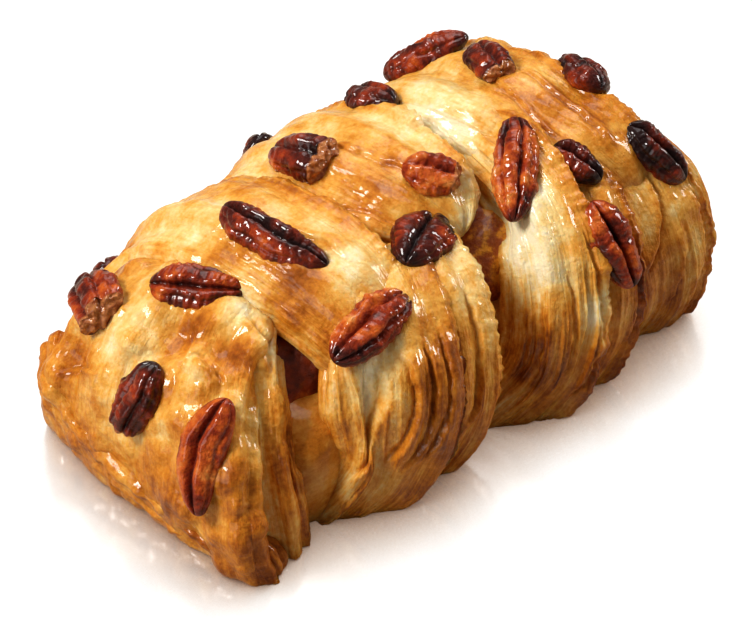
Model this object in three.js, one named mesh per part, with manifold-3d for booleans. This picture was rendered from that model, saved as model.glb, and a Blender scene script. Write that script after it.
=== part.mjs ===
// Pecan plait: a danish of laminated dough, plaited over a nut filling and topped with pecans.
// Millimetres, +Z up, +X along the plait; it rests on its flat underside at Z = 0.

import * as THREE from 'three';
import { mergeVertices } from 'three/addons/utils/BufferGeometryUtils.js';
import Module from 'manifold-3d';

const wasm = await Module();
wasm.setup();

// Driving dimensions
const PLAIT_MIDDLE = [-1.19, 2.1]; // middle of the baked plait, on the shaping axes below
const SPRING_HEIGHT = 10;          // where the sides are widest
const FOOT_DEPTH = 3;              // strips start this far below the flat underside
const FOOT_TUCK = 0.2;             // share of the width that is lost at the foot
const FOOT_TURN = 30;              // degrees of hoop from the foot to the widest place
const HOOP_ROUNDNESS = 2.5;        // superellipse power of the hoops
const STRIP_ROUNDNESS = 2.5;       // superellipse power of a strip's section
const STRIP_THICKNESS = 14.6;
const STRIP_TIP_THICKNESS = 0.66;
const SWEEP_POWER = 1.3;           // how late a foot sweeps back
const TIP_LENGTH = 0.12;           // share of a strip that rounds off at its end
const PLEAT_DEPTH = 0.45;          // layers that stand out along a strip
const FIT_GAP = 0.35;              // clearance of the pecans and of the filling
const PECAN_SINK = 0.34;           // share of a pecan's height that is baked into the dough

const STRIP_MESH = { sides: 22, steps: 12 };
const EDGE_MESH = { sides: 14, steps: 8 };
const PECAN_MESH = { sides: 10, rows: 7 };

// Strips that start at the foot of one long side and turn over the plait. `side` is +1 for the
// +Y side, a turn is in degrees from the widest place, `slant` above 1 bends a strip late, `tilt`
// is how far its edge towards +X stands up over the next strip, and `footWidth` is the share of
// its width at its foot, which sweeps back towards -X by `sweep` mm below the widest place.
const STRIPS = [
  {
    side: 1, footX: -31, tipX: -19, lastTurn: 146, reach: 30, top: 35,
    width: 28, footWidth: 0.85, tipWidth: 0.65, slant: 1, sweep: 3, tilt: 1.5,
  },
  {
    side: 1, footX: -1, tipX: 7, lastTurn: 113, reach: 33, top: 36.5,
    width: 33, footWidth: 0.85, tipWidth: 0.58, slant: 1, sweep: 3, tilt: 1.5,
  },
  {
    side: 1, footX: 31, tipX: 45, lastTurn: 140, reach: 31, top: 37,
    width: 33, footWidth: 0.85, tipWidth: 0.66, slant: 2, sweep: 3, tilt: 1,
  },
  {
    side: -1, footX: -26.5, tipX: -10, lastTurn: 80, reach: 31, top: 35,
    width: 25, footWidth: 0.5, tipWidth: 0.64, slant: 1.2, sweep: 10, tilt: 2.5,
  },
  {
    side: -1, footX: -14, tipX: -3, lastTurn: 77, reach: 30, top: 34.5,
    width: 20, footWidth: 0.5, tipWidth: 0.7, slant: 1, sweep: 9, tilt: 2.5,
  },
  {
    side: -1, footX: 13, tipX: 27.5, lastTurn: 96, reach: 32, top: 37.5,
    width: 14, footWidth: 0.85, tipWidth: 0.8, slant: 0.85, sweep: 12, tilt: 3,
  },
  {
    side: -1, footX: 22.5, tipX: 33.5, lastTurn: 78, reach: 30.5, top: 35,
    width: 20, footWidth: 0.65, tipWidth: 0.65, slant: 0.9, sweep: 8, tilt: 2.5,
  },
  {
    side: -1, footX: 43.5, tipX: 45, lastTurn: 76, reach: 28.5, top: 33,
    width: 31, footWidth: 0.7, tipWidth: 0.62, slant: 1, sweep: 5, tilt: 1,
  },
];

// The sheet folded down over each end, wide at its foot.
const END_FLAPS = [
  { end: -1, rootX: -34, reach: 25, top: 30, rootY: 8, footY: -6.5, rootWidth: 36, footWidth: 61 },
  { end: 1, rootX: 36, reach: 20, top: 30, rootY: 0, footY: 0, rootWidth: 34, footWidth: 50 },
];
const FLAP_SPRING = 4;
const FLAP_THICKNESS = 14.4;
const FLAP_DEPTH = 11;             // the flaps' slanting ends lie this far below the flat underside
const FLAP_TUCK = 6;               // and this far in from the flaps' widest place
const FLAP_TURNS = [90, 65, 40, 18, 0, -FOOT_TURN];

// Rolled edges of the end flaps: down the sides of each, and along the foot of the near one.
// `tip` is the share of the width that is left at the far end.
const ROLLED_EDGES = [
  { width: 14, tip: 1, points: [
    [-38, -4, 29], [-43, -11.5, 25.5], [-47.5, -18.5, 18], [-50, -24.5, 9], [-50, -26.5, -4],
  ] },
  { width: 14, tip: 0.75, points: [
    [-54, 27, 16], [-58.5, 22, 13], [-60, 12, 8], [-60, -4, 6], [-58.5, -17, 4.5], [-57, -26, 2.5],
    [-55, -33, -3],
  ] },
  { width: 14, tip: 1, points: [[-37, 22, 27], [-44, 25, 20], [-48, 25, 10], [-47, 22, -4]] },
  { width: 13, tip: 1, points: [[42, 20, 28], [48, 23, 20], [51, 24, 10], [50, 21, -4]] },
];
const EDGE_THICKNESS = 11;
const EDGE_TIP_LENGTH = 0.07;
const HEART_X = 30;                // the end folds roll about this distance from the middle

// The base sheet that the strips are cut from, and the nut filling that lies in it.
const BASE = { halfLength: 57, halfWidth: 29, low: -23, high: 23, roundness: 3 };
const FILLING = { halfLength: 46, halfWidth: 20, low: 8, high: 32, roundness: 2.3 };

// Pecans: a point near each one's seat, the compass angle of its long axis in degrees, its size,
// and for a broken one the share of its length where it snapped.
const PECANS = [
  { at: [-53, 19, 30], heading: -116, size: [14, 11, 8], snap: 0.35 },
  { at: [-41, 5, 36], heading: -51, size: [18, 10, 7] },
  { at: [-60, -2, 25], heading: 173, size: [15, 9, 7], snap: 0.6 },
  { at: [-59, -20, 23], heading: -159, size: [22.5, 9, 7], bend: 0.2 },
  { at: [-26, 1, 41], heading: -79, size: [25, 8.5, 8], bend: 0.1 },
  { at: [-24, -25, 36], heading: -174, size: [20, 9.5, 7.5] },
  { at: [-5, 18, 41], heading: -80, size: [14, 10, 8], snap: 0.3 },
  { at: [18, 22, 36], heading: -85, size: [13, 9, 7] },
  { at: [8, -5, 43], heading: -52, size: [11, 8.5, 7], snap: 0.4 },
  { at: [-3, -15.5, 40], heading: -151, size: [16.5, 11, 8] },
  { at: [36, 26, 37], heading: -34, size: [19, 8.5, 7.5] },
  { at: [39, 12, 43], heading: -108, size: [12.5, 8.5, 6.5], snap: 0.5 },
  { at: [50, -3, 42], heading: -105, size: [14, 9, 7.5] },
  { at: [22, -14, 42], heading: -134, size: [23, 8.8, 8] },
  { at: [33, -19, 39], heading: -72, size: [11.5, 7.5, 7] },
  { at: [29, -32, 30], heading: -87, size: [18.5, 9.5, 8] },
  { at: [50, -22, 34], heading: -63, size: [16, 9, 7.5] },
  { at: [-37, 34, 12], heading: 60, size: [19, 9.5, 7.5] },
  { at: [-15, 36, 15], heading: 140, size: [16, 9.5, 8], snap: 0.5 },
  { at: [4, 38, 16], heading: 75, size: [21, 10, 7.5] },
  { at: [27, 36, 16], heading: 110, size: [18, 9.5, 7.5] },
  { at: [46, 30, 20], heading: 20, size: [14, 9.5, 7], snap: 0.4 },
  { at: [56, 4, 24], heading: 5, size: [19, 9.5, 7] },
];

const COLOURS = { dough: 0xdba659, filling: 0x6f3216, pecan: 0x6a2a18 };

const degrees = THREE.MathUtils.degToRad;
const { clamp, lerp, smoothstep } = THREE.MathUtils;
const signedPower = (value, power) => Math.sign(value) * Math.abs(value) ** power;

// Joins the vertices that meet at a geometry's seams, so that its surface closes.
function closed(geometry) {
  geometry.deleteAttribute('normal');
  geometry.deleteAttribute('uv');
  return mergeVertices(geometry, 1e-4);
}

// Turns a closed geometry into a solid that can be joined and cut.
function solidOf(geometry) {
  return new wasm.Manifold(new wasm.Mesh({
    numProp: 3,
    vertProperties: new Float32Array(geometry.attributes.position.array),
    triVerts: new Uint32Array(geometry.index.array),
  }));
}

function geometryOf(solid) {
  const mesh = solid.getMesh();
  const geometry = new THREE.BufferGeometry();
  geometry.setAttribute('position', new THREE.BufferAttribute(new Float32Array(mesh.vertProperties), 3));
  geometry.setIndex(new THREE.BufferAttribute(new Uint32Array(mesh.triVerts), 1));
  return geometry;
}

// A closed geometry with each vertex where place(x, y, z) says.
function reshape(start, place) {
  const geometry = closed(start);
  const position = geometry.attributes.position;
  for (let i = 0; i < position.count; i += 1) {
    const moved = place(position.getX(i), position.getY(i), position.getZ(i));
    position.setXYZ(i, moved.x, moved.y, moved.z);
  }
  return geometry;
}

// How far a superellipse of this roundness reaches in a direction, for a half-width of 1.
function superellipse(across, up, roundness) {
  const length = Math.hypot(across, up);
  if (length < 1e-9) return 1;
  return (Math.abs(across / length) ** roundness + Math.abs(up / length) ** roundness) ** (-1 / roundness);
}

// A strip swells from its foot to its middle and narrows to its tip.
function swell(t, foot, tip) {
  const middle = 0.45;
  if (t < middle) return lerp(foot, 1, smoothstep(t, 0, middle));
  return 1 - (1 - tip) * ((t - middle) / (1 - middle)) ** 2;
}

// A pillow of dough along a path: its thickness points away from the heart of the loaf.
function pillow({
  path, halfWidth, halfThickness, heart, roundStart = 0, roundEnd = 0.01, tilt = 0, phase = 0, mesh,
}) {
  const curve = new THREE.CatmullRomCurve3(path);
  const cylinder = new THREE.CylinderGeometry(1, 1, 1, mesh.sides, mesh.steps);
  return reshape(cylinder, (x, y, z) => {
    const t = y + 0.5;
    const middle = curve.getPoint(t);
    const along = curve.getTangent(t);
    const outward = middle.clone().sub(heart(middle));
    outward.addScaledVector(along, -outward.dot(along)).normalize();
    const across = new THREE.Vector3().crossVectors(along, outward);
    const nearEnd = Math.max((t - 1 + roundEnd) / roundEnd, 0);
    const nearStart = roundStart ? Math.max((roundStart - t) / roundStart, 0) : 0;
    const rounding = Math.max(Math.sqrt(1 - Math.min(nearEnd + nearStart, 1) ** 2), 0.05);
    const turn = Math.atan2(z, x);
    const layers = Math.cos(9 * turn + phase + 2 * t) + 0.7 * Math.cos(5 * turn - 2 * phase);
    const section = superellipse(x, z, STRIP_ROUNDNESS) * rounding;
    const pleats = PLEAT_DEPTH * layers * rounding;
    const rise = (halfThickness(t) * section + pleats) * z + tilt * section * x;
    const aside = (halfWidth(t) * section + pleats) * x;
    return middle.addScaledVector(across, aside).addScaledVector(outward, rise);
  });
}

// A path down to the foot: `drop` is 0 above the widest place and 1 at the sunken foot.
const dropAt = (turn) => Math.max(-turn / FOOT_TURN, 0);

function hoopPath(strip) {
  const turns = [-FOOT_TURN, 0];
  const count = Math.max(Math.round(strip.lastTurn / 28), 2);
  for (let i = 1; i <= count; i += 1) turns.push(strip.lastTurn * i / count);
  const power = 2 / HOOP_ROUNDNESS;
  return turns.map((turn) => {
    const angle = degrees(Math.max(turn, 0));
    const drop = dropAt(turn);
    const slanted = Math.max(turn / strip.lastTurn, 0) ** strip.slant;
    const rise = (strip.top - SPRING_HEIGHT) * signedPower(Math.sin(angle), power);
    return new THREE.Vector3(
      lerp(strip.footX, strip.tipX, slanted) - strip.sweep * drop ** SWEEP_POWER,
      strip.side * strip.reach * signedPower(Math.cos(angle), power) * (1 - FOOT_TUCK * drop),
      SPRING_HEIGHT + rise - (SPRING_HEIGHT + FOOT_DEPTH) * drop,
    );
  });
}

function doughStrip(strip, index) {
  return pillow({
    path: hoopPath(strip),
    halfWidth: (t) => strip.width / 2 * swell(t, strip.footWidth, strip.tipWidth),
    halfThickness: (t) => STRIP_THICKNESS / 2 * swell(t, 0.95, STRIP_TIP_THICKNESS),
    heart: (point) => new THREE.Vector3(point.x, 0, SPRING_HEIGHT),
    roundEnd: TIP_LENGTH,
    tilt: -strip.side * strip.tilt,
    phase: index,
    mesh: STRIP_MESH,
  });
}

function endFlap(flap) {
  const path = FLAP_TURNS.map((turn) => {
    const angle = degrees(Math.max(turn, 0));
    const down = Math.min((90 - turn) / (90 + FOOT_TURN), 1);
    const rise = (flap.top - FLAP_SPRING) * Math.sin(angle) ** 0.8;
    return new THREE.Vector3(
      flap.rootX + flap.end * (flap.reach * Math.cos(angle) ** 0.8 - FLAP_TUCK * dropAt(turn)),
      lerp(flap.rootY, flap.footY, down),
      FLAP_SPRING + rise - (FLAP_SPRING + FLAP_DEPTH) * dropAt(turn),
    );
  });
  return pillow({
    path,
    halfWidth: (t) => lerp(flap.rootWidth, flap.footWidth, smoothstep(t, 0, 0.8)) / 2,
    halfThickness: (t) => FLAP_THICKNESS / 2 * (1 - 0.25 * t * t),
    heart: (point) => new THREE.Vector3(flap.rootX, point.y, 5),
    roundStart: TIP_LENGTH,
    mesh: STRIP_MESH,
  });
}

function rolledEdge(edge, index) {
  const narrowed = (t) => 1 - (1 - edge.tip) * smoothstep(t, 0.45, 1);
  return pillow({
    path: edge.points.map((point) => new THREE.Vector3(...point)),
    halfWidth: (t) => edge.width / 2 * narrowed(t),
    halfThickness: (t) => EDGE_THICKNESS / 2 * narrowed(t),
    heart: (point) => new THREE.Vector3(Math.sign(point.x) * HEART_X, point.y * 0.6, 8),
    roundStart: EDGE_TIP_LENGTH,
    roundEnd: EDGE_TIP_LENGTH,
    phase: index,
    mesh: EDGE_MESH,
  });
}

// A loaf-shaped body between two heights, larger all round by `grow`.
function loaf({ halfLength, halfWidth, low, high, roundness }, grow = 0) {
  const sphere = new THREE.SphereGeometry(1, 20, 12).rotateZ(Math.PI / 2);
  const middle = (low + high) / 2;
  return reshape(sphere, (x, y, z) => {
    const length = Math.hypot(y, z) || 1;
    const section = (1 - Math.min(Math.abs(x), 1) ** 5) ** 0.4 * superellipse(y, z, roundness) / length;
    return new THREE.Vector3(
      (halfLength + grow) * signedPower(x, 0.7),
      (halfWidth + grow) * section * y,
      middle + (high - middle + grow) * section * z,
    );
  });
}

// The largest body of a solid, without loose scraps and sealed hollows.
function wholeBody(solid) {
  const bodies = solid.decompose();
  return bodies.sort((a, b) => b.volume() - a.volume())[0];
}

function bakedDough() {
  const folds = [...STRIPS.map(doughStrip), ...END_FLAPS.map(endFlap), ...ROLLED_EDGES.map(rolledEdge)];
  let joined = solidOf(loaf(BASE));
  for (const fold of folds) joined = joined.add(solidOf(fold));
  const floor = closed(new THREE.BoxGeometry(400, 400, 100).translate(0, 0, -50));
  return wholeBody(joined.subtract(solidOf(floor)).subtract(solidOf(loaf(FILLING, FIT_GAP))));
}

// A pecan half lies along X with its groove on top; a snapped one ends in a blunt break.
function pecanHalf({ size: [length, width, height], bend = 0, snap = 1 }, index) {
  const sphere = new THREE.SphereGeometry(1, PECAN_MESH.sides, PECAN_MESH.rows).rotateZ(Math.PI / 2);
  return reshape(sphere, (x, y, z) => {
    const reach = Math.hypot(y, z) || 1;
    const turn = Math.atan2(z, y);
    const plump = (1 - Math.min(Math.abs(x), 1) ** 2.4) ** 0.5 * (1 - 0.1 * x);
    const groove = 0.3 * Math.exp(-(((turn - Math.PI / 2) / 0.4) ** 2)) * (snap < 1 ? 0.5 : 1);
    const ridges = 0.06 * Math.sin(4 * x + 2 * turn + index) + 0.04 * Math.cos(3 * turn + 2 * index);
    const section = plump * (1 - groove + ridges) / reach;
    const past = Math.max(x - snap, 0);
    return new THREE.Vector3(
      length * ((x - 0.75 * past) / (1 + Math.min(snap + 0.25 * (1 - snap), 1)) + (1 - snap) * 0.25),
      width / 2 * section * y + bend * length / 2 * (x * x - 0.4),
      height / 2 * section * z * (z > 0 ? 1 : 0.8),
    );
  });
}

// Where a pecan sits: the dough's surface on the way from the heart of the plait to `at`.
function seatOn(target, at, spread) {
  const aim = new THREE.Vector3(...at);
  const heart = new THREE.Vector3(clamp(aim.x, -HEART_X, HEART_X), 0, SPRING_HEIGHT);
  const inward = heart.sub(aim).normalize();
  const aside = new THREE.Vector3().crossVectors(inward, new THREE.Vector3(0, 0, 1)).normalize();
  const ahead = new THREE.Vector3().crossVectors(inward, aside);
  const caster = new THREE.Raycaster();
  const normal = new THREE.Vector3();
  let seat = null;
  for (const [i, j] of [[0, 0], [1, 0], [-1, 0], [0, 1], [0, -1]]) {
    const start = aim.clone().addScaledVector(inward, -60);
    start.addScaledVector(aside, i * spread).addScaledVector(ahead, j * spread);
    caster.set(start, inward);
    const [hit] = caster.intersectObject(target);
    seat ??= hit.point;
    if (hit) normal.add(hit.face.normal);
  }
  return { seat, normal: normal.normalize() };
}

function placedPecan(pecan, index, target) {
  const [, width, height] = pecan.size;
  const { seat, normal } = seatOn(target, pecan.at, width / 3);
  const compass = degrees(pecan.heading);
  const along = new THREE.Vector3(Math.cos(compass), Math.sin(compass), 0);
  along.z = -along.dot(normal) / Math.max(normal.z, 0.2);
  along.addScaledVector(normal, -along.dot(normal)).normalize();
  const across = new THREE.Vector3().crossVectors(normal, along);
  const turned = new THREE.Matrix4().makeBasis(along, across, normal);
  turned.setPosition(seat.clone().addScaledVector(normal, height * (0.4 - PECAN_SINK)));
  return { geometry: pecanHalf(pecan, index).applyMatrix4(turned), axes: [along, across, normal] };
}

// The pecan without what is baked in: the dough is cut out where it lies, and again moved by
// the fitting gap up and to all sides, so that the two never touch.
function trimmed(pecan, dough, [along, across, normal]) {
  const moves = [normal, along, across, along.clone().negate(), across.clone().negate()];
  let rest = solidOf(pecan);
  for (const move of moves) {
    rest = rest.subtract(dough.translate(move.clone().multiplyScalar(FIT_GAP).toArray()));
  }
  return wholeBody(rest);
}

const plait = new THREE.Group();
plait.position.set(-PLAIT_MIDDLE[0], -PLAIT_MIDDLE[1], 0);

function addPiece(name, geometry, color, roughness) {
  const mesh = new THREE.Mesh(geometry, new THREE.MeshStandardMaterial({ color, roughness, metalness: 0 }));
  mesh.name = name;
  plait.add(mesh);
  return mesh;
}

const dough = bakedDough();
const crust = addPiece('dough', geometryOf(dough), COLOURS.dough, 0.35);
crust.geometry.computeBoundingSphere();
addPiece('filling', loaf(FILLING), COLOURS.filling, 0.5);
PECANS.forEach((pecan, index) => {
  const { geometry, axes } = placedPecan(pecan, index, crust);
  const name = `pecan_${String(index + 1).padStart(2, '0')}`;
  addPiece(name, geometryOf(trimmed(geometry, dough, axes)), COLOURS.pecan, 0.3);
});

export default plait;
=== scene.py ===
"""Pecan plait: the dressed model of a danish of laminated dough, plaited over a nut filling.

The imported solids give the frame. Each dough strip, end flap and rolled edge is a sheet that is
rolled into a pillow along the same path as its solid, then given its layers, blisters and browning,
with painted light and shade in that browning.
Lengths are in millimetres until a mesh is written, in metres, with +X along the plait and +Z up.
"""
import itertools
import math

import bpy
import numpy as np
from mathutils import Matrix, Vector
from mathutils.bvhtree import BVHTree


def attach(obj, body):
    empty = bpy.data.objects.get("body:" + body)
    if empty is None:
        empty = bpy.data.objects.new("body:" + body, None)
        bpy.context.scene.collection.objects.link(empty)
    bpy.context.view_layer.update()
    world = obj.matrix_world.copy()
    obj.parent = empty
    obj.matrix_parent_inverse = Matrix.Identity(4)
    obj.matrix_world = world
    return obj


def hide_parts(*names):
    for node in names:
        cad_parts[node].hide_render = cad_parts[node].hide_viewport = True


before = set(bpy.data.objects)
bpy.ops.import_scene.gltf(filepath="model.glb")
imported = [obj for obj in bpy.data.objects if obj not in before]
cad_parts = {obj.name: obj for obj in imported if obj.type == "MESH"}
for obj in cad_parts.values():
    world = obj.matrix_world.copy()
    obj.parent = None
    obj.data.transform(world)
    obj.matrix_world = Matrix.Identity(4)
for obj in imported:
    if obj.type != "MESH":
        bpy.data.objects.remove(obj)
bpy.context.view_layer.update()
MM = 0.001

# The shaping axes are those of the dough solids: the plait's middle lies here on them.
PLAIT_MIDDLE = np.array([-1.19, 2.1, 0.0])
SPRING_HEIGHT = 10      # where the sides are widest
FOOT_DEPTH = 3          # strips start this far below the flat underside
FOOT_TUCK = 0.2         # share of the width that is lost at the foot
FOOT_TURN = 30          # degrees of hoop from the foot to the widest place
HOOP_ROUNDNESS = 2.5    # superellipse power of the hoops
STRIP_ROUNDNESS = 2.5   # superellipse power of a strip's section
STRIP_THICKNESS = 14.6
SWEEP_POWER = 1.3       # how late a foot sweeps back
STRIP_TIP_THICKNESS = 0.66
TIP_LENGTH = 0.12       # share of a strip that rounds off at its end
PLEAT_DEPTH = 0.45      # broad layers that stand out along a strip
EDGE_THICKNESS = 11
EDGE_TIP_LENGTH = 0.07
HEART_X = 30            # the end folds roll about this distance from the middle
PECAN_SINK = 0.34       # share of a pecan's height that is baked into the dough
LIP_RISE = 1.25         # mm by which the crisp layer along a strip stands out

# Strips from the foot of one long side over the plait. `tilt` is how far the edge towards +X stands
# up over the next strip, and the foot, with `foot_width` as its share of the width, sweeps back
# towards -X by `sweep`. `lip` is the turn in degrees round the section where a crisp layer ends, and
# `arch` how far the layers bow towards +X in the middle of the strip.
STRIP_COLUMNS = ("side", "foot_x", "tip_x", "last_turn", "reach", "top", "width", "foot_width",
                 "tip_width", "slant", "sweep", "tilt", "lip", "arch")
STRIPS = {name: dict(zip(STRIP_COLUMNS, row)) for name, row in {
    "far_strip_1": (1, -31, -19, 146, 30, 35, 28, 0.85, 0.65, 1, 3, 1.5, 150, 0),
    "far_strip_2": (1, -1, 7, 113, 33, 36.5, 33, 0.85, 0.58, 1, 3, 1.5, 146, 0),
    "far_strip_3": (1, 31, 45, 140, 31, 37, 33, 0.85, 0.66, 2, 3, 1, 150, 0),
    "near_strip_1": (-1, -26.5, -10, 80, 31, 35, 25, 0.5, 0.64, 1.2, 10, 2.5, 32, 2),
    "near_strip_2": (-1, -14, -3, 77, 30, 34.5, 20, 0.5, 0.7, 1, 9, 2.5, 28, 2),
    "near_strip_3": (-1, 13, 27.5, 96, 32, 37.5, 14, 0.85, 0.8, 0.85, 12, 3, 40, 1),
    "near_strip_4": (-1, 22.5, 33.5, 78, 30.5, 35, 20, 0.65, 0.65, 0.9, 8, 2.5, 36, 1),
    "near_strip_5": (-1, 43.5, 45, 76, 28.5, 33, 31, 0.7, 0.62, 1, 5, 1, 40, 1),
}.items()}

# A hollow in a strip: its place as a share of the length, how far aside, its reach along and across,
# and its depth.
STRIP_HOLLOWS = {"near_strip_1": [(0.42, -8.5, 11, 4.2, 2.6)]}

# How the surface of each kind of fold is layered: the depth of its broad swells, of its leaves (layers
# that end in a crisp edge), of its fine threads and of its blistered crags, all in mm, and how
# strongly its colour is streaked along the dough's threads.
STYLE_COLUMNS = ("swell", "leaf", "leaf_width", "thread", "bubble", "crag", "streak")
SMOOTH, LAYERED, MEMBRANE, CUFF, BLISTERED = (dict(zip(STYLE_COLUMNS, row)) for row in (
    (0.4, 0.5, 4.6, 0.08, 0.8, 0.0, 0.75),
    (0.3, 0.8, 3.0, 0.09, 0.3, 0.0, 0.85),
    (0.55, 0.12, 4.5, 0.05, 1.2, 0.22, 0.3),
    (0.3, 0.45, 2.4, 0.09, 0.0, 0.0, 0.7),
    (0.4, 0.15, 3.0, 0.05, 0.9, 0.45, 0.3),
))

# The sheet folded down over each end, wide at its foot.
END_FLAPS = {
    "near_flap": dict(end=-1, root_x=-34, reach=25, top=30, root_y=8, foot_y=-6.5, root_width=36,
                      foot_width=61),
    "far_flap": dict(end=1, root_x=36, reach=20, top=30, root_y=0, foot_y=0, root_width=34,
                     foot_width=50),
}
FLAP_SPRING = 4
FLAP_THICKNESS = 14.4
FLAP_DEPTH = 11         # the flaps' slanting ends lie this far below the flat underside
FLAP_TUCK = 6           # and this far in from the flaps' widest place
FLAP_TURNS = (90, 65, 40, 18, 0, -FOOT_TURN)

# Rolled edges of the end flaps: down the sides of each, and along the foot of the near one, with
# each one's width, the share of it that is left at its tip, and its path.
ROLLED_EDGES = {
    "near_flap_cuff": (14, 1, [(-38, -4, 29), (-43, -11.5, 25.5), (-47.5, -18.5, 18), (-50, -24.5, 9),
                               (-50, -26.5, -4)]),
    "near_flap_hem": (14, 0.75, [(-54, 27, 16), (-58.5, 22, 13), (-60, 12, 8), (-60, -4, 6),
                                 (-58.5, -17, 4.5), (-57, -26, 2.5), (-55, -33, -3)]),
    "near_flap_back_cuff": (14, 1, [(-37, 22, 27), (-44, 25, 20), (-48, 25, 10), (-47, 22, -4)]),
    "far_flap_cuff": (13, 1, [(42, 20, 28), (48, 23, 20), (51, 24, 10), (50, 21, -4)]),
}

BASE = dict(half_length=57, half_width=29, low=-23, high=23, roundness=3)
FILLING = dict(half_length=46, half_width=20, low=8, high=32, roundness=2.3)

# Pecans: a point near each one's seat, the compass angle of its long axis, its size, its roast from
# 0, tan, to 1, nearly black, and what sets it apart: `snap` is the share of its length where it
# snapped, `bend` how far it curves, `lobes` how many ridges it has and `rough` how wrinkled it is.
PECANS = [
    ((-53, 19, 30), -116, (14, 11, 8), 0.62, dict(snap=0.35, lobes=3)),
    ((-41, 5, 36), -51, (18, 10, 7), 0.5, dict(lobes=3)),
    ((-60, -2, 25), 173, (15, 9, 7), 0.66, dict(snap=0.6, lobes=3)),
    ((-59, -20, 23), -159, (22.5, 9, 7), 0.4, dict(bend=0.2, rough=0.4)),
    ((-26, 1, 41), -79, (25, 8.5, 8), 0.72, dict(bend=0.1)),
    ((-24, -25, 36), -174, (20, 9.5, 7.5), 0.5, dict(lobes=3)),
    ((-5, 18, 41), -80, (14, 10, 8), 0.7, dict(snap=0.3)),
    ((18, 22, 36), -85, (13, 9, 7), 0.66, dict()),
    ((8, -5, 43), -52, (11, 8.5, 7), 0.25, dict(snap=0.4)),
    ((-3, -15.5, 40), -151, (16.5, 11, 8), 0.72, dict()),
    ((36, 26, 37), -34, (19, 8.5, 7.5), 0.55, dict()),
    ((39, 12, 43), -108, (12.5, 8.5, 6.5), 0.68, dict(snap=0.5)),
    ((50, -3, 42), -105, (14, 9, 7.5), 0.74, dict()),
    ((22, -14, 42), -134, (23, 8.8, 8), 0.46, dict(lobes=3)),
    ((33, -19, 39), -72, (11.5, 7.5, 7), 0.84, dict()),
    ((29, -32, 30), -87, (18.5, 9.5, 8), 0.42, dict()),
    ((50, -22, 34), -63, (16, 9, 7.5), 0.76, dict()),
    ((-37, 34, 12), 60, (19, 9.5, 7.5), 0.6, dict(lobes=3)),
    ((-15, 36, 15), 140, (16, 9.5, 8), 0.5, dict(snap=0.5)),
    ((4, 38, 16), 75, (21, 10, 7.5), 0.68, dict(lobes=3)),
    ((27, 36, 16), 110, (18, 9.5, 7.5), 0.55, dict()),
    ((46, 30, 20), 20, (14, 9.5, 7), 0.7, dict(snap=0.4)),
    ((56, 4, 24), 5, (19, 9.5, 7), 0.6, dict()),
]

# Hollows and swellings of single places: where, how wide, and how far the dough moves out.
LOCAL_FORMS = [
    # the near flap: two hollow panes high on it, blisters, the hollow above its ear, ear and corner
    ((-50.2, -1, 34), 4.2, -2.2), ((-46.5, -8.8, 34.6), 4.2, -1.5), ((-52, -12, 31.5), 3.5, 1.2),
    ((-58, -1, 27.5), 3.5, 0.9), ((-56, 6, 30), 4, 0.9), ((-62, -10, 19), 4.5, -0.9),
    ((-64, -17, 11), 4, 0.9), ((-60.8, 17.4, 22.9), 4, -2.4), ((-64, 21, 16), 4.5, 1.2),
    ((-60, -28, 9), 5, 0.8),
    # the bowl in the first near strip, and the valley between the far and the near strips
    ((-32.1, -31.4, 25.7), 5, -2.2), ((-34.4, -33.2, 20.1), 4, -1.4), ((-19, -13, 40), 6, 1),
    ((15.3, -17, 33.8), 5, -1.6), ((20.5, 5, 38.5), 5, -1.2),
]

# The base sheet bulges out where the first opening shows it.
BASE_FORMS = [((-36, -24, 16), 8, 2.8), ((-42, -27, 8), 7, 2)]

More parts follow.
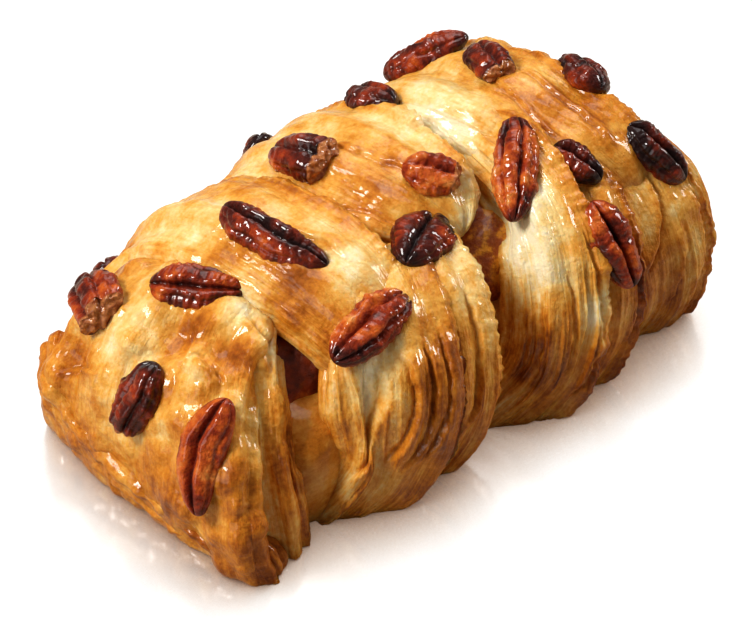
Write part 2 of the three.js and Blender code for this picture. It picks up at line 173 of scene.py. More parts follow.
# Layers with a crisp edge: how far each stands out, how soon it falls back, and the line of its edge.
# Seen from outside, the layer lies on the left of the line and drops on its right.
LAYER_EDGES = [
    # nested layers of the first near strip, stepping down into its pale bowl
    (1.3, 2.6, [(-25.8, -28.7, 31.8), (-27, -33, 26.2), (-30.1, -34.6, 20.9), (-33.2, -34.8, 14.6),
           (-36.4, -31.4, 7.7)]),
    (1.2, 2.2, [(-21.1, -29.2, 32.3), (-21.7, -34, 27.8), (-23.5, -36.6, 22.4), (-26.7, -37.2, 16.3),
           (-31.2, -35.9, 10.7)]),
    (1.1, 2, [(-16.8, -30.1, 32.6), (-17.6, -34.4, 27.5), (-19.9, -37.5, 20.8), (-23.1, -38.5, 14.9),
           (-28.3, -37.4, 9)]),
    (0.9, 1.6, [(-11.9, -28.8, 33.7), (-14, -34.5, 28.4), (-16.3, -37.7, 22), (-19.7, -38.8, 16),
           (-25.5, -38.3, 10.3)]),
    # the edges of the other near strips
    (1, 1.8, [(-2.8, -25.9, 34.6), (-3.6, -31.3, 29.9), (-5.9, -35.3, 24), (-9.1, -37.1, 17),
           (-13.6, -37.8, 12.1)]),
    (0.9, 1.6, [(12, -38.5, 4.3), (16.6, -39.7, 8.4), (20.4, -39.4, 17), (21.3, -37.5, 24.2),
           (22.5, -34, 30.5), (23.6, -29.4, 36.2)]),
    (0.7, 1.8, [(8, -37.8, 5), (12.5, -38.3, 11), (15.2, -37.6, 18), (16.5, -35.5, 24.5), (18, -31.5, 31)]),
    (0.8, 1.6, [(10.5, -30.5, 24), (8.5, -33, 17), (5.5, -34, 9)]),
    (0.7, 1.4, [(12.5, -32.5, 26), (10.5, -35, 19), (7.5, -36, 10)]),
    (1, 1.6, [(27.3, -37.8, 8.8), (29.7, -37.9, 14), (31.4, -37, 20.1), (33, -34, 26.5), (34, -29, 31.5)]),
    (0.9, 2.2, [(37, -34.5, 18), (40.5, -33.8, 22), (44, -31.4, 27), (46, -28.2, 31), (46.5, -24, 34)]),
    (0.7, 1.8, [(43, -35.5, 8), (46, -35.5, 14), (48, -34, 20), (48.6, -31, 26)]),
    (1, 2.2, [(48, -36, 8), (52.4, -34.7, 16), (53.9, -32.6, 22.8), (53.2, -28.6, 29.6)]),
    # the edges of the far strips on the top
    (0.9, 3, [(-3.1, -9, 36.6), (-7.5, 0.2, 38.2), (-17.9, 8.3, 41.4)]),
    (0.9, 3, [(21.1, 2, 37), (20.5, 8.6, 39.6), (18.4, 16.5, 38.5)]),
    (0.5, 1.2, [(48, 10, 42), (47.5, 0, 43.3), (46.9, -11.4, 42.6)]),
    (0.6, 1.4, [(42.1, 9, 43.6), (42, -5.2, 43.9), (42.4, -13.2, 42.3), (41.8, -21, 38)]),
    (0.5, 1.4, [(37.5, 12, 43), (35.3, -3.8, 42.9), (34.3, -14, 40)]),
    (0.5, 2.5, [(-33.3, 13.3, 38.9), (-24.8, 5.9, 41.3), (-20, -2.8, 41.8), (-18.2, -14.8, 39.9)]),
    (0.5, 1.6, [(0, 20, 40), (2.4, 10.1, 42.2), (5.5, 0.7, 42.5), (8.9, -9.8, 39.8)]),
    # the near flap: its rim over the opening, the ridges between its panes, its ear and its cuff
    (1, 2.2, [(-42, -16.5, 29), (-40.8, -13.8, 31.6), (-40, -10.5, 34), (-39.5, -6, 35.4)]),
    (1.4, 1.6, [(-46.7, -0.6, 35), (-51, -5.2, 33.3), (-54.6, -6.7, 30.8)]),
    (1.3, 1.8, [(-51.4, -15, 31.2), (-51.3, -10.7, 32.4), (-51.5, -6.7, 33.2)]),
    (0.8, 2.5, [(-61.4, 8, 24.7), (-62.1, 13.4, 22.1), (-63.5, 20.1, 17.6)]),
    (0.7, 1.4, [(-47, -28.5, 9), (-45.5, -26, 17), (-43.5, -21.5, 24.5), (-41.8, -17, 29)]),
    (0.6, 1.2, [(-49.5, -28.3, 7), (-48.5, -26.6, 15), (-47, -22.5, 23)]),
]
EDGE_DROP = 0.3         # mm over which a crisp edge falls
EDGE_GAP = 0.7          # mm from an edge to the middle of the gap under it

# Browned and pale places: where, how wide, and how much more (or less) they are baked. A few pale
# spots are painted light instead: they lighten places that the lamps leave dark.
BAKED_AND_PAINTED_LIGHT_SPOTS = [
    # the near flap, and the base sheet in the first opening; the pale spot at (-63, 2, 16) is painted light
    ((-60.5, -31, 6), 7, 0.26), ((-63, 2, 16), 8, -0.2), ((-61, 15.7, 23.6), 4, 0.25),
    ((-46.2, -12.8, 33.4), 4.8, 0.42), ((-40.3, -12, 33), 3.5, -0.4), ((-41, -5, 35.5), 4.5, -0.3),
    ((-56, 10, 31), 8, -0.15), ((-36.5, -3.4, 34.5), 5, -0.3), ((-52, -6.5, 33), 3.5, -0.3),
    ((-50.2, -1, 34), 3.5, 0.18), ((-50, -20, 29), 4, -0.2), ((-48, -1, 34.5), 6, 0.27),
    ((-42, -2, 37), 5, 0.15), ((-39.2, -23.2, 15.9), 5, 0.35), ((-64, -12, 12), 6, 0.1),
    # the near strips; the pale spots at (20.5, -38, 22) and (50, -36, 17) are painted light
    ((20.5, -38, 22), 5, -0.5), ((17, -18, 38), 5, -0.3), ((30, -35, 22), 6, 0.2),
    ((15.5, -35, 24), 4, 0.15), ((45, -30, 28), 5, -0.1), ((-27.2, -27.7, 34.2), 7, -0.35),
    ((-31, -33, 26), 6, -0.25), ((-14, -32, 29), 6, 0.2), ((-14.4, -36, 12), 9, 0.22),
    ((-10, -25, 34.4), 6, 0.06), ((-27.5, -35.7, 20), 5, 0.12), ((-2, -33.5, 25.5), 5, -0.14),
    ((12, -27.5, 33), 8, -0.45), ((15, -17.3, 40), 9, -0.4), ((4.5, -34, 12), 6, 0.2),
    ((18, -38, 20), 7, -0.05), ((37, -34, 20), 6, 0.15), ((50, -36, 17), 7, -0.2),
    # the far strips
    ((-34.8, 14.4, 39), 8, -0.17), ((-24, 7, 42), 7, -0.12), ((-26.8, -7.8, 41), 4.5, 0.32),
    ((-30.6, -12.3, 38), 5, 0.25), ((-28.9, -21.4, 33.5), 6, 0.3), ((-19.4, -13.4, 39.7), 7, -0.3),
    ((-2, -2, 42), 6, 0.2), ((7, -10, 39), 6, 0.2), ((20.6, 6, 40), 9, -0.4),
    ((29.5, 4.2, 43.7), 8, -0.05), ((-12.6, 23.8, 34.5), 7, -0.2), ((41, -6, 43.5), 8, 0.2),
]

# The filling is painted lighter in the second opening, standing for light that the deep opening keeps
# from it, and it also bulges out there.
FILLING_PAINTED_LIGHT_SPOTS = [((22, -10, 24), 16, 0.9)]
FILLING_FORMS = [((18, -16, 26), 9, 4.5)]

# Colours of the crust and the pecans' skin from palest to darkest, of the filling and of a pecan's
# broken face from darkest to palest, and of the table from the deepest shade to full light.
BAKED_COLOURS = [
    (0, (0.88, 0.76, 0.50)), (0.2, (0.84, 0.60, 0.25)), (0.4, (0.76, 0.38, 0.075)),
    (0.58, (0.60, 0.22, 0.022)), (0.76, (0.37, 0.107, 0.009)), (1, (0.13, 0.026, 0.003)),
]
FILLING_COLOURS = [
    (0, (0.10, 0.010, 0.001)), (0.45, (0.26, 0.036, 0.002)), (0.8, (0.50, 0.13, 0.010)),
    (1, (0.9, 0.40, 0.03)),
]
ROASTED_COLOURS = [
    (0, (0.72, 0.32, 0.08)), (0.28, (0.57, 0.12, 0.016)), (0.5, (0.30, 0.036, 0.008)),
    (0.74, (0.10, 0.013, 0.006)), (1, (0.022, 0.006, 0.005)),
]
BROKEN_COLOURS = [(0, (0.26, 0.06, 0.02)), (1, (0.58, 0.24, 0.08))]
SHADE_COLOURS = [
    (0, (0.09, 0.05, 0.03)), (0.3, (0.40, 0.28, 0.21)), (0.5, (0.72, 0.62, 0.54)),
    (0.66, (0.92, 0.88, 0.84)), (0.8, (0.99, 0.98, 0.97)), (1, (1.02, 1.02, 1.02)),
]
SHADE_REACH = 21        # mm from the table within which the plait shades it
MIRROR_REACH = 22       # mm from the table within which it mirrors the plait
SHADE_SIDE = (0.36, 0.54, 0.76)      # what stands on this side of a place on the table shades it


# Numbers and noise
def smoothstep(value, low, high):
    part = np.clip((value - low) / (high - low), 0, 1)
    return part * part * (3 - 2 * part)


def signed_power(value, power):
    return np.sign(value) * np.abs(value) ** power


def bell(value, width):
    """1 at zero, falling smoothly to nearly nothing at twice the width on both sides."""
    return np.exp(-(value / width) ** 2)


def dot(first, second):
    return np.sum(first * second, axis=-1)


def unit(vectors):
    return vectors / np.maximum(np.linalg.norm(vectors, axis=-1, keepdims=True), 1e-12)


draw = np.random.default_rng(41)
SHUFFLE = np.tile(draw.permutation(256), 2)
SLOPES = unit(draw.normal(size=(256, 3)))


def noise(*axes, seed=0):
    """Smooth gradient noise of about -1 to 1; each axis is an array, with lattice cells of one unit."""
    places = np.stack(np.broadcast_arrays(*axes), axis=-1).astype(float)
    shape, count = places.shape[:-1], places.shape[-1]
    places = places.reshape(-1, count)
    cell = np.floor(places).astype(np.int64)
    part = places - cell
    ease = part ** 3 * (part * (part * 6 - 15) + 10)
    total = np.zeros(len(places))
    for corner in itertools.product((0, 1), repeat=count):
        key = np.full(len(places), seed & 255)
        weight = np.ones(len(places))
        for axis, step in enumerate(corner):
            key = SHUFFLE[(key + cell[:, axis] + step) & 255]
            weight = weight * (ease[:, axis] if step else 1 - ease[:, axis])
        total += weight * np.einsum("ij,ij->i", SLOPES[key, :count], part - corner)
    return 1.7 * total.reshape(shape)


def cloud(places, size, seed):
    """Smooth noise in space with lumps of about `size` mm, one number or one for each axis."""
    return noise(*np.moveaxis(places / np.asarray(size, float), -1, 0), seed=seed)


def cells(places, seed):
    """Distance to the nearest of the points scattered one to a lattice cell, in cell widths."""
    shape = places.shape[:-1]
    places = places.reshape(-1, 3)
    cell = np.floor(places).astype(np.int64)
    nearest = np.full(len(places), 9.0)
    for step in itertools.product((-1, 0, 1), repeat=3):
        key = np.full(len(places), seed & 255)
        for axis in range(3):
            key = SHUFFLE[(key + cell[:, axis] + step[axis]) & 255]
        point = cell + step + 0.5 + 0.45 * SLOPES[key]
        nearest = np.minimum(nearest, np.linalg.norm(places - point, axis=1))
    return nearest.reshape(shape)


def spots(places, listed, steep=1.0):
    """The sum of round spots, each with its place, radius and amount; `steep` above 1 firms their rims."""
    total = np.zeros(places.shape[:-1])
    for at, radius, amount in listed:
        total += amount * np.exp(-(np.sum((places - at) ** 2, axis=-1) / radius ** 2) ** steep)
    return total


def layer_edges(places, normal, listed):
    """How far the listed layers stand out, in mm, how much their edges are browned, and how much
    the gaps under them are darkened, which is painted shade.
    """
    height = np.zeros(places.shape[:-1])
    browned_and_gap_shade = np.zeros(places.shape[:-1])
    for rise, width, points in listed:
        share = np.linspace(0, 1, 6 * len(points))
        line = curve_through(points, share)
        start, step = line[:-1], np.diff(line, axis=0)
        reach = 2.5 * width + 2
        near = np.all((places > line.min(axis=0) - reach) & (places < line.max(axis=0) + reach), axis=-1)
        if not near.any():
            continue
        here = places[near][:, None] - start
        part = np.clip(dot(here, step) / dot(step, step), 0, 1)
        away = here - part[..., None] * step
        which = np.argmin(dot(away, away), axis=1)
        rows = np.arange(len(which))
        away = away[rows, which]
        right = unit(np.cross(step[which], normal[near]))
        aside = dot(away, right)
        past = np.sqrt(np.maximum(dot(away, away) - aside ** 2, 0))
        at = (which + part[rows, which]) / len(step)
        aside -= 0.35 * noise(at * len(points) * 2.1, at * 0, seed=int(10 * rise + 7 * width))
        fade = smoothstep(at, 0, 0.2) * (1 - smoothstep(at, 0.8, 1)) * bell(past, 2.5)
        body = bell(aside, np.where(aside < 0, width, EDGE_DROP))
        gap = bell(aside - EDGE_GAP, 0.5)
        rim = bell(aside + 0.6, 0.6)
        height[near] += rise * fade * (body - 0.5 * gap)
        # the rim is browned; the gap under it is darkened, which is painted shade
        browned_and_gap_shade[near] += fade * (0.12 * gap + 0.14 * rim)
    return height, browned_and_gap_shade


# Pillows of dough
def superellipse(across, up, roundness):
    length = np.maximum(np.hypot(across, up), 1e-9)
    return (np.abs(across / length) ** roundness + np.abs(up / length) ** roundness) ** (-1 / roundness)


def swell(t, foot, tip):
    middle = 0.45
    rising = foot + (1 - foot) * smoothstep(t, 0, middle)
    falling = 1 - (1 - tip) * (np.maximum(t - middle, 0) / (1 - middle)) ** 2
    return np.where(t < middle, rising, falling)


def curve_through(points, t):
    """Places on the centripetal Catmull-Rom curve through the points, for t from 0 to 1."""
    points = np.asarray(points, float)
    ends = [2 * points[0] - points[1]], [2 * points[-1] - points[-2]]
    held = np.concatenate([ends[0], points, ends[1]])
    place = np.clip(t, 0, 1) * (len(points) - 1)
    first = np.minimum(place.astype(int), len(points) - 2)
    part = (place - first)[:, None]
    a, b, c, d = (held[first + i] for i in range(4))
    step_a, step_b, step_c = (
        np.linalg.norm(q - p, axis=1, keepdims=True) ** 0.5 for p, q in ((a, b), (b, c), (c, d))
    )
    leave = ((b - a) / step_a - (c - a) / (step_a + step_b) + (c - b) / step_b) * step_b
    arrive = ((c - b) / step_b - (d - b) / (step_b + step_c) + (d - c) / step_c) * step_b
    square = 3 * (c - b) - 2 * leave - arrive
    cube = 2 * (b - c) + leave + arrive
    return b + leave * part + square * part ** 2 + cube * part ** 3


def rows_along(count, round_start, round_end):
    """Steps along a pillow, closer together where its ends round off."""
    tip = max(int(count * 0.1), 6)
    quarter = np.linspace(0, math.pi / 2, tip)
    start = round_start * (1 - np.cos(quarter)) if round_start else np.zeros(1)
    end = 1 - round_end * (1 - np.sin(quarter))
    middle = np.linspace(start[-1], end[0], count + 1 - len(start) - len(end) + 2)[1:-1]
    return np.concatenate([start, middle, end])


def turns_around(count):
    """Angles round the section, in radians, close together on the side that faces out."""
    way = np.linspace(-1, 1, count + 1)
    return math.pi / 2 + math.pi * (0.6 * way + 0.4 * way ** 5)


def way_along(points):
    """The distance of each point of a line from its first one."""
    return np.concatenate([[0], np.cumsum(np.linalg.norm(np.diff(points, axis=0), axis=1))])


def pillow(path, half_width, half_thickness, heart, size, round_start=0, round_end=0.01, tilt=0, phase=0):
    """The smooth form of one fold, with `size` faces round it and along it: its corners in rows, and
    what its relief, baking and painted light read."""
    around, along = size
    t = rows_along(along, round_start, round_end)
    turn = turns_around(around)
    middle = curve_through(path, t)
    ahead = unit(curve_through(path, t + 1e-4) - curve_through(path, t - 1e-4))
    outward = middle - heart(middle)
    outward = unit(outward - ahead * dot(outward, ahead)[:, None])
    across = np.cross(ahead, outward)
    near_end = np.maximum((t - 1 + round_end) / round_end, 0)
    near_start = np.maximum((round_start - t) / round_start, 0) if round_start else 0
    rounding = np.sqrt(1 - np.minimum(near_end + near_start, 1) ** 2)
    rounding[0] = rounding[-1] = 0
    x, z = np.cos(turn), np.sin(turn)
    layers = np.cos(9 * turn + phase + 2 * t[:, None]) + 0.7 * np.cos(5 * turn - 2 * phase)
    section = superellipse(x, z, STRIP_ROUNDNESS) * rounding[:, None]
    pleats = PLEAT_DEPTH * layers * rounding[:, None]
    wide = (half_width(t)[:, None] * section + pleats) * x
    thick = (half_thickness(t)[:, None] * section + pleats) * z + tilt * section * x
    places = middle[:, None] + across[:, None] * wide[..., None] + outward[:, None] * thick[..., None]
    length = way_along(middle)
    girth = way_along(places[np.argmax(np.ptp(wide, axis=1))])
    q = girth - np.interp(math.pi / 2, turn, girth)
    return dict(places=places, middle=middle, t=t, turn=turn, q=q, length=length, rounding=rounding)


def strip_path(strip):
    count = max(round(strip["last_turn"] / 28), 2)
    turns = [-FOOT_TURN, 0] + [strip["last_turn"] * (i + 1) / count for i in range(count)]
    power = 2 / HOOP_ROUNDNESS
    path = []
    for turn in turns:
        angle = math.radians(max(turn, 0))
        drop = max(-turn / FOOT_TURN, 0)
        slanted = max(turn / strip["last_turn"], 0) ** strip["slant"]
        rise = (strip["top"] - SPRING_HEIGHT) * signed_power(math.sin(angle), power)
        path.append((
            strip["foot_x"] + (strip["tip_x"] - strip["foot_x"]) * slanted
            - strip["sweep"] * drop ** SWEEP_POWER,
            strip["side"] * strip["reach"] * signed_power(math.cos(angle), power) * (1 - FOOT_TUCK * drop),
            SPRING_HEIGHT + rise - (SPRING_HEIGHT + FOOT_DEPTH) * drop,
        ))
    return path


def strip_pillow(strip, index):
    return pillow(
        path=strip_path(strip),
        half_width=lambda t: strip["width"] / 2 * swell(t, strip["foot_width"], strip["tip_width"]),
        half_thickness=lambda t: STRIP_THICKNESS / 2 * swell(t, 0.95, STRIP_TIP_THICKNESS),
        heart=lambda middle: middle * (1, 0, 0) + (0, 0, SPRING_HEIGHT),
        size=(210, 230), round_end=TIP_LENGTH, tilt=-strip["side"] * strip["tilt"], phase=index,
    )


def flap_pillow(flap):
    path = []
    for turn in FLAP_TURNS:
        angle = math.radians(max(turn, 0))
        down = min((90 - turn) / (90 + FOOT_TURN), 1)
        drop = max(-turn / FOOT_TURN, 0)
        rise = (flap["top"] - FLAP_SPRING) * math.sin(angle) ** 0.8
        path.append((
            flap["root_x"] + flap["end"] * (flap["reach"] * math.cos(angle) ** 0.8 - FLAP_TUCK * drop),
            flap["root_y"] + (flap["foot_y"] - flap["root_y"]) * down,
            FLAP_SPRING + rise - (FLAP_SPRING + FLAP_DEPTH) * drop,
        ))
    root, foot = flap["root_width"], flap["foot_width"]
    return pillow(
        path=path,
        half_width=lambda t: (root + (foot - root) * smoothstep(t, 0, 0.8)) / 2,
        half_thickness=lambda t: FLAP_THICKNESS / 2 * (1 - 0.25 * t * t),
        heart=lambda middle: middle * (0, 1, 0) + (flap["root_x"], 0, 5),
        size=(280, 160), round_start=TIP_LENGTH,
    )


def edge_pillow(edge, index):
    width, tip, points = edge
    return pillow(
        path=points,
        half_width=lambda t: width / 2 * (1 - (1 - tip) * smoothstep(t, 0.45, 1)),
        half_thickness=lambda t: EDGE_THICKNESS / 2 * (1 - (1 - tip) * smoothstep(t, 0.45, 1)),
        heart=lambda middle: np.stack(
            [np.sign(middle[:, 0]) * HEART_X, middle[:, 1] * 0.6, np.full(len(middle), 8.0)], axis=1),
        size=(130, 150), round_start=EDGE_TIP_LENGTH, round_end=EDGE_TIP_LENGTH, phase=index,
    )


def loaf_form(loaf, x, y, z):
    """A loaf-shaped body between two heights, from the points of a unit sphere with its poles along X."""
    length = np.maximum(np.hypot(y, z), 1e-9)
    section = (1 - np.minimum(np.abs(x), 1) ** 5) ** 0.4 * superellipse(y, z, loaf["roundness"]) / length
    middle = (loaf["low"] + loaf["high"]) / 2
    return np.stack([
        loaf["half_length"] * signed_power(x, 0.7),
        loaf["half_width"] * section * y,
        middle + (loaf["high"] - middle) * section * z,
    ], axis=-1)


# Relief
def normals_of(form):
    places = form["places"]
    normal = unit(np.cross(np.gradient(places, axis=1), np.gradient(places, axis=0)))
    facing = dot(normal, places - form["middle"][:, None])
    return normal * np.where(np.median(facing) < 0, -1, 1)


def leaves(q, along, width, seed):
    """Layers that overlap like shingles towards the sides: -1 to 1, rising to a crisp ragged edge.
    The second value browns each edge and darkens the gap under it, which is painted shade.
    """
    bend = 1.1 * noise(q / 18, along / 40, seed=seed) + 0.3 * noise(q / 6, along / 12, seed=seed + 1)
    place = (np.abs(q) + bend) / width + 0.6 * noise(q / 12, along / 90, seed=seed + 2)
    which = np.floor(place)
    part = place - which
    depth = 0.2 + 0.8 * smoothstep(noise(which * 0.73, along / 26, seed=seed + 3), -0.35, 0.45)
    ragged = 1 + 0.7 * noise(along / 1.6, which * 1.7, seed=seed + 4)
    rise = part ** 1.6 + 0.2 * ragged * bell(part - 0.86, 0.07)
    drop = smoothstep(part, 0.9, 1)
    # painted shade: the gap under each crisp edge is darkened
    gap = bell(np.minimum(part, 1.02 - part), 0.08)
    return depth * (rise - drop - 0.25), depth * (bell(part - 0.78, 0.16) + 0.25 * gap)


def threads(q, along, seed):
    """Fine threads of dough that run down a fold; about -1 to 1."""
    bend = 1.4 * noise(q / 8, along / 14, seed=seed)
    fine = noise((q + bend) / 0.8, along / 6, seed=seed + 1)
    finer = noise((q + bend) / 0.42, along / 3.5, seed=seed + 2)
    return 0.9 - 2.4 * np.abs(fine) + 0.6 * finer


def relief(form, style, seed, lip=None, arch=0, hollows=()):
    """How far the surface stands out from its smooth form, in mm, how exposed its crests are, with
    the painted shade in the gaps under its layers, and how strongly its layers colour it."""
    places = form["places"]
    q, along = np.broadcast_arrays(form["q"], form["length"][:, None])
    share = along / form["length"][-1]
    arched = q + arch * (1 - (2 * share - 1) ** 2)
    lumps = 0.8 * cloud(places, 15, seed) + 0.25 * cloud(places, 7, seed + 3)
    bend = 2.5 * noise(arched / 20, along / 30, seed=seed + 12)
    swells = 0.6 - 1.9 * np.abs(noise((arched + bend) / 7.5, along / 36, seed=seed + 13))
    edge = smoothstep(np.abs(form["turn"] - math.pi / 2), 0.3, 1.1)
    flank = 1 - smoothstep(places[..., 2], 20, 37)
    mottle = 0.5 * noise(q / 9, along / 18, seed=seed + 8)
    layered = np.clip(0.15 + 0.6 * edge + 0.6 * flank + mottle, 0.05, 1.2)
    leaf, leaf_edge_and_gap_shade = leaves(arched, along, style["leaf_width"], seed + 30)
    fine, fine_edge_and_gap_shade = leaves(arched, along, 0.36 * style["leaf_width"], seed + 60)
    height = lumps + style["swell"] * swells * (0.5 + 0.5 * flank)
    height += style["leaf"] * (leaf + 0.35 * fine) * layered
    # crests are browner, and the gaps under the layers are darker, which is painted shade
    crests_and_gap_shade = 0.3 * swells + style["leaf"] * (leaf_edge_and_gap_shade + 0.4 * fine_edge_and_gap_shade) * layered
    patchy = smoothstep(cloud(places, 7, seed + 14), -0.3, 0.5)
    height += style["thread"] * threads(arched, along, seed + 17) * (0.3 + 0.7 * patchy)
    dome = np.maximum(0.45 - cells(places / 8, seed + 50), 0) / 0.45
    height += style["bubble"] * dome ** 0.7 * smoothstep(dome, 0, 0.3) * 0.8
    crests_and_gap_shade += 0.5 * style["bubble"] * dome
    if style["crag"]:
        knobs = 1 - 1.6 * cells(places / 3.4, seed)
        ridged = 0.5 - 1.8 * np.abs(cloud(places, 6, seed + 10))
        height += style["crag"] * (0.8 * knobs + 0.6 * cloud(places, 2.4, seed + 9) + 1.6 * ridged)
        crests_and_gap_shade += style["crag"] * 0.5 * knobs
    if lip is not None:
        centre = math.radians(lip) + 0.10 * noise(along / 9, along / 31, seed=seed + 2)
        ragged = 0.9 + 0.5 * noise(along / 2.6, along / 5, seed=seed + 4)
        ragged += 0.35 * noise(along / 0.9, along / 3, seed=seed + 5)
        away = (form["turn"][None] - centre) * (1 if lip > 90 else -1)
        rim = bell(away, np.where(away < 0, 0.3, 0.045))
        height += LIP_RISE * ragged * rim
        crests_and_gap_shade += 0.6 * rim
    for at, aside, reach, wide, depth in hollows:
        hollow = np.exp(-((along - at * form["length"][-1]) / reach) ** 2 - ((-q - aside) / wide) ** 2)
        height -= depth * hollow
        crests_and_gap_shade -= 0.9 * hollow
        layered *= 1 - 0.7 * hollow
    height += 0.06 * cloud(places, 0.9, seed + 6)
    height += spots(places, LOCAL_FORMS, steep=1.6)
    outside = smoothstep(np.sin(form["turn"]), -0.75, -0.3)
    return height * outside * form["rounding"][:, None] ** 0.8, crests_and_gap_shade, layered * style["streak"]


# Baking, and painted light and shade
dough_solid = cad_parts["dough"]
solid_tree = BVHTree.FromPolygons(
    [v.co.copy() for v in dough_solid.data.vertices], [tuple(p.vertices) for p in dough_solid.data.polygons]
)
SKY_RAYS = 28
SKY_ROWS, SKY_COLUMNS = 30, 34
SKY_REACH = 22          # mm within which another fold takes away from the sky
SKY_LIFT = 1.6          # mm above the surface from where it is looked at
GOLDEN_ANGLE = math.pi * (3 - 5 ** 0.5)


def openness(form, normal):
    """Share of the sky over each place that no other fold covers."""
    rows = np.unique(np.linspace(0, len(form["t"]) - 1, SKY_ROWS).astype(int))
    columns = np.unique(np.linspace(0, len(form["turn"]) - 1, SKY_COLUMNS).astype(int))
    sky = []
    for i in range(SKY_RAYS):
        up = 1 - (i + 0.5) / SKY_RAYS
        aside = math.sqrt(1 - up * up)
        sky.append((aside * math.cos(GOLDEN_ANGLE * i), aside * math.sin(GOLDEN_ANGLE * i), up))
    coarse = np.zeros((len(rows), len(columns)))
    for i, row in enumerate(rows):
        for j, column in enumerate(columns):
            face = normal[row, column]
            start = (form["places"][row, column] - PLAIT_MIDDLE + SKY_LIFT * face) * MM
            side = unit(np.cross(face, (0.31, 0.77, 0.55)))
            other = np.cross(face, side)
            total = 0.0
            for a, b, c in sky:
                hit = solid_tree.ray_cast(start, side * a + other * b + face * c, SKY_REACH * MM)
                total += c if hit[0] is None else c * hit[3] / (SKY_REACH * MM) * 0.5
            coarse[i, j] = total / (SKY_RAYS / 2)
    wide = np.stack([np.interp(np.arange(len(form["turn"])), columns, line) for line in coarse])
    return np.stack([np.interp(np.arange(len(form["t"])), rows, line) for line in wide.T]).T


def browning_and_painted_light(form, crests_and_gap_shade, open_sky, seed, crag):
    """How far each place is baked: 0 is pale and soft, 1 is dark brown. It also holds painted shade
    in deep crevices and in the gaps under layers, and the painted light of a few pale spots.
    """
    places = form["places"]
    edge = smoothstep(np.abs(form["turn"] - math.pi / 2), 0.7, 1.5)
    blotch = cloud(places, 16, seed + 21) + 0.7 * cloud(places, 6, seed + 22)
    # lower places are browner
    flank = 1 - smoothstep(places[..., 2], 14, 34)
    # painted shade: deep crevices are darker and warmer, standing for their shade and the light that
    # bounces in them, and partly also for syrup that pools there
    crevice_shade_and_syrup = smoothstep(-open_sky, -0.45, -0.2)
    baked = 0.25 + 0.40 * (open_sky - 0.62) + 0.08 * edge + 0.22 * crests_and_gap_shade + 0.16 * blotch + 0.14 * crag
    return baked + 0.10 * flank + 0.30 * crevice_shade_and_syrup + spots(places, BAKED_AND_PAINTED_LIGHT_SPOTS)


# Meshes
SHEET_MAP_SIZE = 100    # mm of dough to one unit of the sheet map
UNDERSIDE_STEP = 0.02   # mm
SEAM_GAP = 0.002        # mm within which corners are joined


def deselect_all():
    for thing in bpy.context.selected_objects:
        thing.select_set(False)


def write_piece(piece, places, **attributes):
    """Gives a piece its corners, in mm on the shaping axes, and what its material reads at them."""
    corners = np.ascontiguousarray((places - PLAIT_MIDDLE) * MM, dtype=np.float32)
    piece.data.vertices.foreach_set("co", corners.ravel())
    piece.data.update()
    for name, values in attributes.items():
        layer = piece.data.attributes.new(name, "FLOAT", "POINT")
        layer.data.foreach_set("value", np.ascontiguousarray(values, dtype=np.float32))


def corners_of(piece):
    flat = np.empty(len(piece.data.vertices) * 3, np.float32)
    piece.data.vertices.foreach_get("co", flat)
    return flat.reshape(-1, 3).astype(float)


def close_up(piece):
    """Joins the edges that meet, which closes seams and poles, and turns the faces outwards."""
    bpy.context.view_layer.objects.active = piece
    bpy.ops.object.mode_set(mode="EDIT")
    bpy.ops.mesh.select_all(action="SELECT")
    bpy.ops.mesh.remove_doubles(threshold=SEAM_GAP * MM)
    bpy.ops.mesh.normals_make_consistent(inside=False)
    bpy.ops.object.mode_set(mode="OBJECT")
    bpy.ops.object.shade_smooth()


def settle(places, lift):
    """Presses what lies below the floor flat, with a soft bottom edge."""
    softness, straight = 0.45, 30
    low = (places[..., 2] - lift) / softness
    bent = np.log1p(np.exp(np.minimum(low, straight)))
    pressed = places.copy()
    pressed[..., 2] = lift + softness * np.where(low > straight, low, bent)
    return pressed


def rolled_sheet(name, form, height, normal, baked, layered, lift):
    """A flat sheet rolled into the pillow `form`, with its relief, its baking and its painted light."""
    deselect_all()
    around, along = len(form["turn"]) - 1, len(form["t"]) - 1
    bpy.ops.mesh.primitive_grid_add(x_subdivisions=around, y_subdivisions=along, size=1)
    piece = bpy.context.object
    piece.name = piece.data.name = name
    flat = corners_of(piece)
    column = np.rint((flat[:, 0] + 0.5) * around).astype(int)
    row = np.rint((flat[:, 1] + 0.5) * along).astype(int)
    places = settle(form["places"] + normal * height[..., None], lift)
    write_piece(piece, places[row, column], baked=baked[row, column], layered=layered[row, column])
    corner = np.empty(len(piece.data.loops), np.int32)
    piece.data.loops.foreach_get("vertex_index", corner)
    sheet_map = np.stack([form["q"][column[corner]], form["length"][row[corner]]], axis=1)
    sheet_map = sheet_map / SHEET_MAP_SIZE
    piece.data.uv_layers[0].data.foreach_set("uv", sheet_map.astype(np.float32).ravel())
    close_up(piece)
    return piece


def finish_piece(piece, material, slot, *nodes):
    piece.data.materials.clear()
    piece.data.materials.append(material)
    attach(piece, "root")
    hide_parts(*nodes)


def dough_fold(name, form, index, style, lip=None, arch=0, hollows=()):
    """A dressed fold. Its underside lies a little higher than the last one's, so no two share a plane."""
    seed = 13 * index + 5
    normal = normals_of(form)
    height, crests_and_gap_shade, layered = relief(form, style, seed, lip, arch, hollows)
    # the layer edges add their browning and the painted shade in their gaps
    rise, browned_and_gap_shade = layer_edges(form["places"], normal, LAYER_EDGES)
    height = height + rise * form["rounding"][:, None]
    baked = browning_and_painted_light(form, crests_and_gap_shade, openness(form, normal), seed, style["crag"]) + browned_and_gap_shade
    return rolled_sheet(name, form, height, normal, baked, layered, lift=UNDERSIDE_STEP * index)


